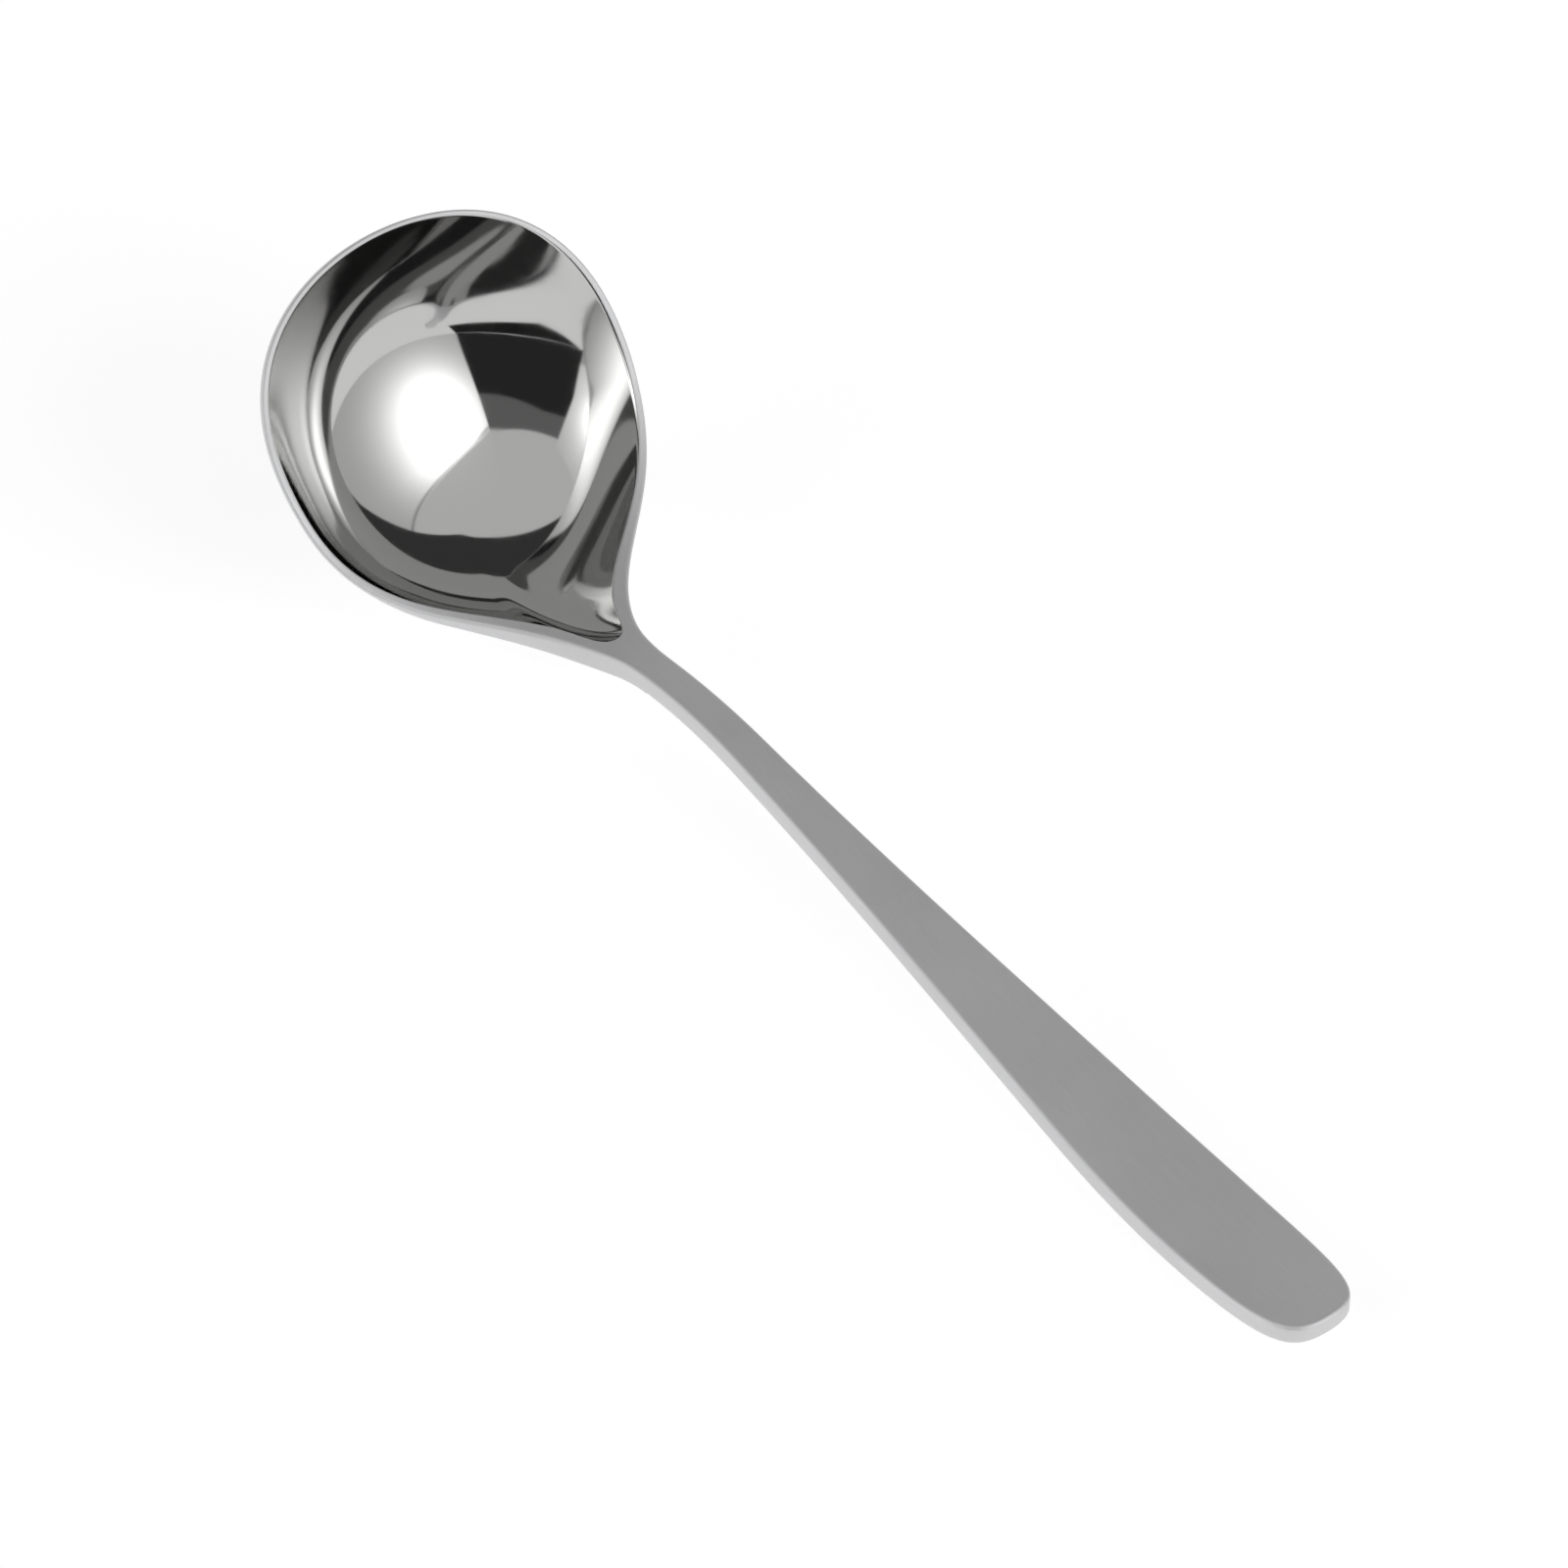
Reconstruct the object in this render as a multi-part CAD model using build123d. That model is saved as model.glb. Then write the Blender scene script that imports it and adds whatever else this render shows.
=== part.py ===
from build123d import *
import math
import os

# A small steel ladle: a round bowl and a flat handle that leaves the rim at an angle.
# Sizes are in millimetres and degrees. Lengths run along the bent middle line of the top side,
# and 0 on that line is the widest place of the bowl. A pull is the share of its stretch that a
# curve keeps its starting direction for.

# Outline of the bowl, seen square to the middle line
bowl_width = 54.0
far_reach = 24.4
far_end_pull = 0.48
far_side_pull = 0.72
shoulder_pull = 0.57
neck_pull = 0.51

# Outline of the neck and the handle
neck_reach = 50.2
neck_width = 5.0
taper_length = 109.6
handle_width = 14.6
taper_start_pull = 0.45
taper_end_pull = 0.21
tip_length = 24.4
tip_side_pull = 0.86
tip_end_pull = 0.88

# Bends of the middle line, as slopes against the table
rim_slope = 48.5
rim_flat = 7.8
neck_bend_radius = 32.6
neck_rise = 13.3
crest_radius = 77.0
handle_fall = 6.2
tip_bend_length = 44.4
tip_bend_radius = 190.0

# Thicknesses, and the rounding of the edges, which takes at most its share of the thickness
handle_thickness = 3.0
handle_round = 0.6
rim_edge = 0.7
rim_round = 0.4
round_share = 0.45
thickening_start = 12.0

# The hollow of the bowl: the flat land round it, its depth and its point in the neck. The higher
# the fade, the sooner its level lines turn from the outline at the edge into even ellipses.
rim_land = 1.0
neck_land = 2.1
land_share = 0.74
pool_reach = 41.2
nose_pull = 0.5
deepest_place = 4.0
bowl_depth = 16.2
wall_steepness = 0.55
edge_fade = 6.0

# The outside of the bowl: its wall at the bottom, and its root under the neck
bottom_wall = 1.2
root_wall = 5.0
root_share = 0.84
root_land = 0.4
outside_overlap = 0.2

# How the pressed faces and the cut edge are drawn
patch_rows = 19
patch_overrun = 1.06
patch_corner = 0.25
outline_steps = 10
cut_lean = 20.0
spare = 8.0

waist = neck_reach
widest = waist + taper_length
tip = widest + tip_length
neck_end = rim_flat + math.radians(rim_slope + neck_rise) * neck_bend_radius
crest_end = neck_end + math.radians(neck_rise + handle_fall) * crest_radius
tip_bend = tip - tip_bend_length
bends = (rim_flat, neck_end, crest_end, tip_bend)
bowl_half = bowl_width / 2
neck_half = neck_width / 2
handle_half = handle_width / 2
cut_up = Vector(math.sin(math.radians(cut_lean)), 0, math.cos(math.radians(cut_lean)))


def slope(s):
    # slope of the middle line, in radians, at the length s
    if s <= rim_flat:
        return math.radians(-rim_slope)
    if s <= neck_end:
        return math.radians(-rim_slope) + (s - rim_flat) / neck_bend_radius
    if s <= crest_end:
        return math.radians(neck_rise) - (s - neck_end) / crest_radius
    if s <= tip_bend:
        return math.radians(-handle_fall)
    return math.radians(-handle_fall) + (s - tip_bend) / tip_bend_radius


def step(start, end):
    # way along one stretch of even bend, which is a straight line or one arc
    turn = slope(end) - slope(start)
    mean = (slope(end) + slope(start)) / 2
    chord = end - start
    if abs(turn) > 1e-9:
        chord = chord * math.sin(turn / 2) / (turn / 2)
    return Vector(chord * math.cos(mean), 0, chord * math.sin(mean))


def bent(s, y=0.0, n=0.0):
    # place of a point: s along the middle line, y across, n square to the top side
    place = Vector(0, y, 0)
    last = 0.0
    for stop in bends:
        if s > stop:
            place += step(last, stop)
            last = stop
    place += step(last, s)
    return place + n * Vector(-math.sin(slope(s)), 0, math.cos(slope(s)))


def cubic(a, b, c, d, t):
    u = 1 - t
    weights = (u**3, 3 * u * u * t, 3 * u * t * t, t**3)
    s = sum(w * point[0] for w, point in zip(weights, (a, b, c, d)))
    y = sum(w * point[1] for w, point in zip(weights, (a, b, c, d)))
    return s, y


def far_quarter(t, reach, half):
    # from the widest place of the bowl round to its far end
    side = (-far_side_pull * reach, half)
    return cubic((0, half), side, (-reach, far_end_pull * half), (-reach, 0), t)


def shoulder(t):
    # from the widest place of the bowl into the waist of the neck
    bowl_side = (shoulder_pull * waist, bowl_half)
    neck_side = (waist - neck_pull * waist, neck_half)
    return cubic((0, bowl_half), bowl_side, neck_side, (waist, neck_half), t)


def shoulder_inside(t, land):
    # the shoulder curve moved inwards by the land
    s, y = shoulder(t)
    s_next, y_next = shoulder(t + 1e-4)
    length = math.hypot(s_next - s, y_next - y)
    return s + land * (y_next - y) / length, y - land * (s_next - s) / length


def hollow_edge(t, side_land, end_land, share, reach):
    # edge of a hollow: 0 to 1 its nose in the neck, 1 to 2 its shoulder, 2 to 3 its far part
    if t >= 2:
        return far_quarter(t - 2, far_reach - side_land, bowl_half - side_land)
    if t >= 1:
        part = 2 - t
        return shoulder_inside(part * share, side_land + (end_land - side_land) * part**2)
    throat = shoulder_inside(share, end_land)
    before = shoulder_inside(share - 1e-3, end_land)
    pull = nose_pull * (reach - throat[0]) / math.dist(throat, before)
    leave = tuple(b + pull * (b - a) for a, b in zip(before, throat))
    return cubic((reach, 0), (reach, nose_pull * throat[1]), leave, throat, t)


def edge_distance(angle, *hollow):
    # distance from the deepest place to the edge of the hollow, in one direction
    low = 0.0
    high = 3.0
    for halving in range(40):
        middle = (low + high) / 2
        s, y = hollow_edge(middle, *hollow)
        if math.atan2(y, s - deepest_place) < angle:
            low = middle
        else:
            high = middle
    return math.dist(hollow_edge(low, *hollow), (deepest_place, 0))


def pressed(p, q, edge_drop, depth, *hollow):
    # one point of a hollow: even ellipses round the deepest place, the true outline at the edge
    r = math.hypot(p, q)
    angle = math.atan2(abs(q), p)
    across = edge_distance(math.pi / 2, *hollow)
    along = edge_distance(math.pi, *hollow)
    even = 1 / math.hypot(math.cos(angle) / along, math.sin(angle) / across)
    blend = r ** edge_fade
    reach = r * (blend * edge_distance(angle, *hollow) + (1 - blend) * even)
    y = math.copysign(reach * math.sin(angle), q)
    drop = depth * (1 - r * r) * (1 + wall_steepness * r * r)
    return bent(deepest_place + reach * math.cos(angle), y, -edge_drop - drop)


def above_hollow(*sizes):
    # everything above one smooth pressed face that runs a little past its edge
    steps = [2 * i / (patch_rows - 1) - 1 for i in range(patch_rows)]
    rows = []
    for u in steps:
        points = []
        for v in steps:
            p = patch_overrun * u * (1 - patch_corner * v * v)
            q = patch_overrun * v * (1 - patch_corner * u * u)
            points.append(pressed(p, q, *sizes))
        rows.append(Wire([Edge.make_spline(points, parameters=[(v + 1) / 2 for v in steps])]))
    return Solid.extrude(Shell.make_loft(rows).faces()[0], cut_up * bowl_width)


def middle_line(start, end, n=0.0):
    # the middle line, moved square to the top side, as tangent lines and arcs
    stops = [start] + [s for s in bends if start < s < end] + [end]
    edges = []
    for a, b in zip(stops, stops[1:]):
        if abs(slope(b) - slope(a)) < 1e-9:
            edges.append(Line(bent(a, 0, n), bent(b, 0, n)))
        else:
            edges.append(ThreePointArc(bent(a, 0, n), bent((a + b) / 2, 0, n), bent(b, 0, n)))
    return edges


def side_block(edges):
    # a profile seen from the side, drawn out over the whole width
    face = Pos(0, -bowl_width, 0) * make_face(edges)
    return extrude(face, 2 * bowl_width, dir=(0, 1, 0))


def thickness(s):
    # thin at the rim of the bowl, full at the point of the hollow
    t = (s - thickening_start) / (pool_reach - thickening_start)
    t = min(max(t, 0.0), 1.0)
    return rim_edge + (handle_thickness - rim_edge) * t * t * (3 - 2 * t)


def bowl_outline_block():
    # the bowl and its neck as cut from the sheet
    flat = Plane(origin=-bowl_width * cut_up, x_dir=Vector(0, 1, 0).cross(cut_up), z_dir=cut_up)
    steps = [i / outline_steps for i in range(outline_steps)]
    side = [far_quarter(1 - t, far_reach, bowl_half) for t in steps]
    side += [shoulder(t) for t in steps] + [(waist, neck_half)]
    left = []
    for s, y in side + [(waist + spare, neck_half)]:
        place = flat.to_local_coords(bent(s, y))
        left.append(Vector(place.X, place.Y, 0))
    right = [Vector(place.X, -place.Y, 0) for place in reversed(left)]
    curve = Spline(*right[1:], *left[1:-1])
    straight = Polyline(left[-2], left[-1], right[0], right[1])
    return extrude(flat * make_face([curve, straight]), 2 * bowl_width, dir=cut_up)


def handle_outline_block():
    # the handle as cut from the sheet, with a spare stretch before the waist
    start = bent(waist - spare).X
    thin = bent(waist).X
    wide = bent(widest).X
    end = bent(tip).X
    taper_side = (thin + taper_start_pull * (wide - thin), neck_half)
    taper_wide = (wide - taper_end_pull * (wide - thin), handle_half)
    tip_side = (wide + tip_side_pull * (end - wide), handle_half)
    left = [
        Line((start, neck_half), (thin, neck_half)),
        Bezier((thin, neck_half), taper_side, taper_wide, (wide, handle_half)),
        Bezier((wide, handle_half), tip_side, (end, tip_end_pull * handle_half), (end, 0)),
    ]
    right = [mirror(edge, about=Plane.XZ) for edge in left]
    root = Line((start, neck_half), (start, -neck_half))
    face = Pos(0, 0, -bowl_width) * make_face(left + right + [root])
    return extrude(face, 2 * bowl_width, dir=(0, 0, 1))


def waist_plane():
    return Plane(origin=bent(waist), z_dir=Vector(math.cos(slope(waist)), 0, math.sin(slope(waist))))


def make_bowl():
    far = -far_reach - spare
    end = waist + spare
    floor = -2 * bowl_width
    corners = [bent(end), Vector(bent(end).X, 0, floor), Vector(bent(far).X, 0, floor), bent(far)]
    below_top = side_block(middle_line(far, end) + [Polyline(*corners)])
    steps = [i / outline_steps for i in range(outline_steps + 1)]
    thin_part = [thickening_start + t * (pool_reach - thickening_start) for t in steps]
    underside = Spline(*[bent(s, 0, -thickness(s)) for s in thin_part])
    neck = side_block(
        middle_line(thickening_start, end, spare)
        + [Line(bent(end, 0, spare), bent(end, 0, -handle_thickness))]
        + middle_line(pool_reach, end, -handle_thickness)
        + [underside]
        + [Line(bent(thickening_start, 0, -rim_edge), bent(thickening_start, 0, spare))]
    )
    pool = above_hollow(0.0, bowl_depth, rim_land, neck_land, land_share, pool_reach)
    outside_depth = bowl_depth + bottom_wall - rim_edge
    root_reach = pool_reach + root_wall
    outside = above_hollow(rim_edge, outside_depth, -outside_overlap, root_land, root_share, root_reach)
    blank = (outside + neck) & below_top & bowl_outline_block()
    blank = fillet(rim_edges(blank), min(rim_round, 2 * round_share * rim_edge))
    return split(blank - pool, bisect_by=waist_plane(), keep=Keep.BOTTOM)


def rim_edges(blank):
    # the outer edges of the bowl's top side
    steps = [i / 200 for i in range(201)]
    side = [far_quarter(t, far_reach, bowl_half) for t in steps] + [shoulder(t) for t in steps]
    rim = [bent(s, sign * y) for s, y in side for sign in (1, -1)]
    chosen = []
    for edge in blank.edges():
        ways = [min((edge @ t - place).length for place in rim) for t in (0.2, 0.5, 0.8)]
        if max(ways) < rim_edge / 2:
            chosen.append(edge)
    return chosen


def make_handle():
    start = waist - spare
    end = tip + spare
    profile = (
        middle_line(start, end)
        + [Line(bent(end), bent(end, 0, -handle_thickness))]
        + middle_line(start, end, -handle_thickness)
        + [Line(bent(start), bent(start, 0, -handle_thickness))]
    )
    handle = handle_outline_block() & side_block(profile)
    handle = split(handle, bisect_by=waist_plane(), keep=Keep.TOP)
    long_edges = [e for e in handle.edges() if e.geom_type == GeomType.BSPLINE and e.length > neck_width]
    return fillet(long_edges, min(handle_round, round_share * handle_thickness))


def resting_turn():
    # turn about the cross axis that sets the bowl and the handle on the same table
    outside_depth = bowl_depth + bottom_wall - rim_edge
    sizes = (rim_edge, outside_depth, -outside_overlap, root_land, root_share, pool_reach + root_wall)
    bowl_points = [pressed(i / 100, 0.0, *sizes) for i in range(101)]
    handle_points = [bent(waist + i / 200 * (tip - waist), 0, -handle_thickness) for i in range(201)]
    turn = 0.0
    for round_of_settling in range(20):
        lows = []
        for points in (bowl_points, handle_points):
            turned = [v.rotate(Axis.Y, math.degrees(turn)) for v in points]
            lows.append(min(turned, key=lambda v: v.Z))
        turn += math.atan2(lows[1].Z - lows[0].Z, lows[1].X - lows[0].X)
    return math.degrees(turn)


turn = resting_turn()
bowl = Rot(0, turn, 0) * make_bowl()
handle = Rot(0, turn, 0) * make_handle()
box = bowl.bounding_box().add(handle.bounding_box())
stand = Pos(-box.center().X, -box.center().Y, -box.min.Z)
os.makedirs("parts", exist_ok=True)
export_step((stand * bowl).solid(), "parts/bowl.step")
export_step((stand * handle).solid(), "parts/handle.step")
print("turned to rest by", round(turn, 3), "degrees, size", box.size)
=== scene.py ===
import math

import bmesh
import bpy
import numpy as np
from mathutils import Matrix, Vector


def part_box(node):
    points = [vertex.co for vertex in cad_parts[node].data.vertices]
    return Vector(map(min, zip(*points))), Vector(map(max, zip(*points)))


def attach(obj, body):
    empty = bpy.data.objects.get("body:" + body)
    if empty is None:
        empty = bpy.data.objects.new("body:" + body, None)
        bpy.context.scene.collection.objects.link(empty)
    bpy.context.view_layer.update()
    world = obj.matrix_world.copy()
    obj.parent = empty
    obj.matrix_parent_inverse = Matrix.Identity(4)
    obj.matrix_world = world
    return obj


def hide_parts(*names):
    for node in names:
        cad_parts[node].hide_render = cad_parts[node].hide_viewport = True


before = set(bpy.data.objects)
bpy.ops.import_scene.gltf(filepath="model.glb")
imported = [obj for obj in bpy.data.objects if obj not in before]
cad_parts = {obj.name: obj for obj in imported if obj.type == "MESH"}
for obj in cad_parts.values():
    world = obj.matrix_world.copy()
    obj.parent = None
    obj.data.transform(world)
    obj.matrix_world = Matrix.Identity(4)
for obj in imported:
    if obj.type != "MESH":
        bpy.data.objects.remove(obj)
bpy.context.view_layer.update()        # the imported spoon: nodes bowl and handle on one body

mm = 0.001
creaseAngle = math.radians(40)        # edges steeper than this stay sharp
fineSteps = 2000        # samples on a curve where a place on it is looked up
print("frame loaded:", sorted(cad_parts))


# Helpers for objects, nodes, colours and smooth steps

def addObject(name, data):
    thing = bpy.data.objects.new(name, data)
    bpy.context.scene.collection.objects.link(thing)
    return thing


def addNode(tree, kind, inputs=None, **settings):
    node = tree.nodes.new(kind)
    for name, value in settings.items():
        setattr(node, name, value)
    for socket, value in (inputs or {}).items():
        if isinstance(value, bpy.types.Node):
            value = value.outputs[0]
        if isinstance(value, bpy.types.NodeSocket):
            tree.links.new(value, node.inputs[socket])
        else:
            node.inputs[socket].default_value = value
    return node


def emptyMaterial(name):
    material = bpy.data.materials.new(name)
    material.use_nodes = True
    material.node_tree.nodes.clear()
    return material


def hexColour(code):
    parts = [int(code[i:i + 2], 16) / 255 for i in (1, 3, 5)]
    linear = [c / 12.92 if c <= 0.04045 else ((c + 0.055) / 1.055) ** 2.4 for c in parts]
    return (*linear, 1.0)


def smoothStep(value, low, high):
    t = np.clip((value - low) / (high - low), 0.0, 1.0)
    return t * t * (3 - 2 * t)


# Middle line of the top side, seen from the side, in mm and degrees.
# Lengths run along it, and 0 is the widest place of the bowl.
middleLine = {
    "rimSlope": 48.5,        # fall of the bowl's rim towards the neck
    "rimFlat": 7.8,          # the rim is straight up to here
    "pressEase": 5.0,        # the pressed hollow eases into the neck's bend over this length, both ways
    "neckRadius": 32.6,
    "neckRise": 13.3,
    "crestRadius": 77.0,
    "handleFall": 6.2,
    "tipBend": 139.8,        # the handle starts to lift here
    "tipRadius": 190.0,
    "lineEnd": 184.2,
    "restTurn": 0.097,       # turn that sets bowl and handle on the table
}
neckEnd = middleLine["rimFlat"] + math.radians(
    middleLine["rimSlope"] + middleLine["neckRise"]) * middleLine["neckRadius"]
crestEnd = neckEnd + math.radians(
    middleLine["neckRise"] + middleLine["handleFall"]) * middleLine["crestRadius"]
# ends of the straight and round stretches; the first and the last lie far beyond the spoon
lineStops = (-100.0, middleLine["rimFlat"], neckEnd, crestEnd, middleLine["tipBend"], 300.0)


def slopeAt(s):
    rise = np.clip(s - middleLine["rimFlat"], 0, neckEnd - middleLine["rimFlat"])
    fall = np.clip(s - neckEnd, 0, crestEnd - neckEnd)
    lift = np.clip(s - middleLine["tipBend"], 0, None)
    bends = rise / middleLine["neckRadius"] - fall / middleLine["crestRadius"]
    return bends + lift / middleLine["tipRadius"] - math.radians(middleLine["rimSlope"])


def bentPlace(s, y, n):
    # s along the middle line, y across, n square to the top side; one arc after another
    s = np.asarray(s, float)
    x = np.zeros(s.shape)
    z = np.zeros(s.shape)
    for start, end in zip(lineStops, lineStops[1:]):
        first = min(max(0.0, start), end)
        last = np.clip(s, start, end)
        turn = slopeAt(last) - slopeAt(first)
        chord = (last - first) * np.sinc(turn / (2 * math.pi))
        mean = (slopeAt(last) + slopeAt(first)) / 2
        x += chord * np.cos(mean)
        z += chord * np.sin(mean)
    ease = middleLine["pressEase"]
    past = np.clip(s - middleLine["rimFlat"], -ease, ease)
    eased = (past + ease) ** 2 / (4 * ease) - np.clip(past, 0, None)
    lean = slopeAt(s) + eased / middleLine["neckRadius"]
    x = x - n * np.sin(lean)
    z = z + n * np.cos(lean)
    turn = math.radians(middleLine["restTurn"])
    return np.stack([
        x * math.cos(turn) + z * math.sin(turn),
        y + 0 * s,
        z * math.cos(turn) - x * math.sin(turn),
    ], -1)


# Bowl and neck

bowlSizes = {
    # the cut edge in plan
    "width": 54.0, "farReach": 24.4, "farEndPull": 0.48, "farSidePull": 0.72,
    "shoulderPull": 0.57, "neckPull": 0.51, "neckReach": 50.2, "neckWidth": 5.0,
    # the edges of the hollow and of the pressed outside
    "rimLand": 1.0, "neckLand": 2.1, "landShare": 0.74, "poolReach": 41.2, "nosePull": 0.5,
    "rootLand": 0.4, "rootShare": 0.84, "rootReach": 46.2,
    # how it is pressed
    "deepestPlace": 4.0, "depth": 16.2, "steepness": 0.55, "edgeFade": 6,
    # the sheet, from the thin wall of the bowl to the full thickness of the neck
    "bottomWall": 1.2, "rimEdge": 0.7, "thickness": 3.0, "thickeningStart": 12.0,
    "rimMelt": 0.02, "neckMelt": 1.6, "meltShare": 0.7,
    # roundings
    "rimRound": 0.3, "neckRound": 0.6, "poolRound": 0.22, "farTrim": 0.36,
    # ribs and rings of the mesh
    "farRibs": 60, "shoulderRibs": 90, "noseRibs": 40, "neckRibs": 24,
    "poolRings": 110, "undersideRings": 44, "roundRings": 8, "underLandRings": 13,
    "landParts": (0.0, 0.05, 0.11, 0.18, 0.27, 0.4, 0.6, 0.8, 1.0), "weld": 0.00001,
    # rounds of the search for a place on an edge, and for the level line through a place
    "edgeRounds": 44, "levelRounds": 40,
}


def cubic(a, b, c, d, t):
    t = np.asarray(t, float)[..., None]
    a, b, c, d = (np.array(point, float) for point in (a, b, c, d))
    u = 1 - t
    return u ** 3 * a + 3 * u * u * t * b + 3 * u * t * t * c + t ** 3 * d


def farQuarter(t, reach, half):
    size = bowlSizes
    side = (-size["farSidePull"] * reach, half)
    return cubic((0, half), side, (-reach, size["farEndPull"] * half), (-reach, 0), t)


def shoulder(t):
    size = bowlSizes
    half, reach, neckHalf = size["width"] / 2, size["neckReach"], size["neckWidth"] / 2
    bowlSide = (size["shoulderPull"] * reach, half)
    neckSide = (reach - size["neckPull"] * reach, neckHalf)
    return cubic((0, half), bowlSide, neckSide, (reach, neckHalf), t)


def inwards(curve, t, step=1e-4):
    # unit vectors square to a curve, towards the middle line
    way = curve(t + step) - curve(t - step)
    way = way / np.linalg.norm(way, axis=-1, keepdims=True)
    return np.stack([way[..., 1], -way[..., 0]], -1)


def hollowEdge(q, sideLand, endLand, share, reach):
    # q from 3 to 2 is the far part of the edge, from 2 to 1 its shoulder and from 1 to 0 its nose
    size = bowlSizes
    q = np.asarray(q, float)
    half = size["width"] / 2 - sideLand
    far = farQuarter(np.clip(q - 2, 0, 1), size["farReach"] - sideLand, half)
    part = np.clip(2 - q, 0, 1)
    land = (sideLand + (endLand - sideLand) * part ** 2)[..., None]
    side = shoulder(part * share) + land * inwards(shoulder, part * share)
    step = 1e-3        # a short way back along the shoulder, for its direction at the throat
    ends = np.array([share - step, share])
    before, throat = shoulder(ends) + endLand * inwards(shoulder, ends)
    leave = throat + (throat - before) * (
        size["nosePull"] * (reach - throat[0]) / np.linalg.norm(throat - before))
    noseSide = (reach, size["nosePull"] * throat[1])
    nose = cubic((reach, 0), noseSide, leave, throat, np.clip(q, 0, 1))
    return np.where(q[..., None] >= 2, far, np.where(q[..., None] >= 1, side, nose))


def edgeDistance(angle, hollow):
    low = np.zeros(np.shape(angle))
    high = np.full(np.shape(angle), 3.0)
    for halving in range(bowlSizes["edgeRounds"]):
        middle = (low + high) / 2
        edge = hollowEdge(middle, *hollow)
        before = np.arctan2(edge[..., 1], edge[..., 0] - bowlSizes["deepestPlace"]) < angle
        low = np.where(before, middle, low)
        high = np.where(before, high, middle)
    return np.linalg.norm(hollowEdge(low, *hollow) - (bowlSizes["deepestPlace"], 0), axis=-1)


def evenDistance(angle, hollow):
    # an ellipse round the deepest place, which the level lines of the hollow start from
    across, along = edgeDistance(np.array([math.pi / 2, math.pi]), hollow)
    return 1 / np.hypot(np.cos(angle) / along, np.sin(angle) / across)


def pressDrop(r, depth):
    return depth * (1 - r * r) * (1 + bowlSizes["steepness"] * r * r)


pool = tuple(bowlSizes[name] for name in ("rimLand", "neckLand", "landShare", "poolReach"))
outside = (0.0, bowlSizes["rootLand"], bowlSizes["rootShare"], bowlSizes["rootReach"])


def outlineAt(q):
    # the cut edge beside the pool's edge for q from 3 to 0, and along the neck from 0 to -1
    size = bowlSizes
    q = np.asarray(q, float)
    shares = np.linspace(0, 1, fineSteps + 1)
    noseShare = np.interp(size["poolReach"], shoulder(shares)[:, 0], shares)
    stops = (-1.0, 0.0, 1.0, 2.0)
    t = np.interp(q, stops, (1.0, noseShare, size["landShare"], 0.0))
    t = np.where(q < -1, 1.0 - (q + 1) * (1 - noseShare), t)
    far = farQuarter(q - 2, size["farReach"], size["width"] / 2)
    return np.where(q[..., None] >= 2, far, shoulder(t))


def edgeThickness(s):
    size = bowlSizes
    full = smoothStep(s, size["thickeningStart"], size["poolReach"])
    return size["rimEdge"] + (size["thickness"] - size["rimEdge"]) * full


def undersideDepth(plan):
    # the deeper of the neck's flat underside and the pressed outside, melted together
    size = bowlSizes
    way = plan - (size["deepestPlace"], 0)
    angle = np.arctan2(np.abs(plan[..., 1]), way[..., 0])
    reach = np.linalg.norm(way, axis=-1)
    edge = edgeDistance(angle, outside)
    even = evenDistance(angle, outside)
    r = reach / edge
    fade = size["edgeFade"]
    for improving in range(size["levelRounds"]):
        miss = (edge - even) * r ** (fade + 1) + even * r - reach
        r = r - miss / ((fade + 1) * (edge - even) * r ** fade + even)
    cup = size["rimEdge"] + pressDrop(r, size["depth"] + size["bottomWall"] - size["rimEdge"])
    flat = edgeThickness(plan[..., 0])
    melt = size["rimMelt"] + size["neckMelt"] * smoothStep(
        plan[..., 0], size["thickeningStart"], size["neckReach"] * size["meltShare"])
    return (cup + flat + np.hypot(cup - flat, melt)) / 2


def gridFaces(rows, columns, first):
    index = first + np.arange(rows * columns).reshape(rows, columns)
    corners = (index[:-1, :-1], index[1:, :-1], index[1:, 1:], index[:-1, 1:])
    return np.stack([corner.ravel() for corner in corners], -1)


def finishPiece(name, mesh, weld):
    # welded, closed and smooth, with its faces turned outwards
    work = bmesh.new()
    work.from_mesh(mesh)
    bmesh.ops.remove_doubles(work, verts=work.verts, dist=weld)
    bmesh.ops.dissolve_degenerate(work, edges=work.edges, dist=weld)
    openEdges = [edge for edge in work.edges if edge.is_boundary]
    if openEdges:
        bmesh.ops.edgeloop_fill(work, edges=openEdges)
    bmesh.ops.recalc_face_normals(work, faces=work.faces)
    for face in work.faces:
        face.smooth = True
    work.to_mesh(mesh)
    print(name, len(work.faces), "faces, open edges", sum(edge.is_boundary for edge in work.edges))
    work.free()
    mesh.set_sharp_from_angle(angle=creaseAngle)
    return addObject(name, mesh)


def weldHalves(name, grids):
    # grids of the half at +Y: (points, material number, faces turned over); the other half is mirrored
    places, faces, slots = [], [], []
    for side in (1, -1):
        for points, slot, turned in grids:
            made = gridFaces(*points.shape[:2], sum(len(place) for place in places))
            faces.append(made[:, ::-1] if turned == (side == 1) else made)
            slots.append(np.full(len(made), slot))
            places.append((points * (1, side, 1)).reshape(-1, 3))
    mesh = bpy.data.meshes.new(name)
    mesh.from_pydata(np.concatenate(places).tolist(), [], np.concatenate(faces).tolist())
    mesh.polygons.foreach_set("material_index", np.concatenate(slots))
    return finishPiece(name, mesh, bowlSizes["weld"] * mm)


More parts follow.
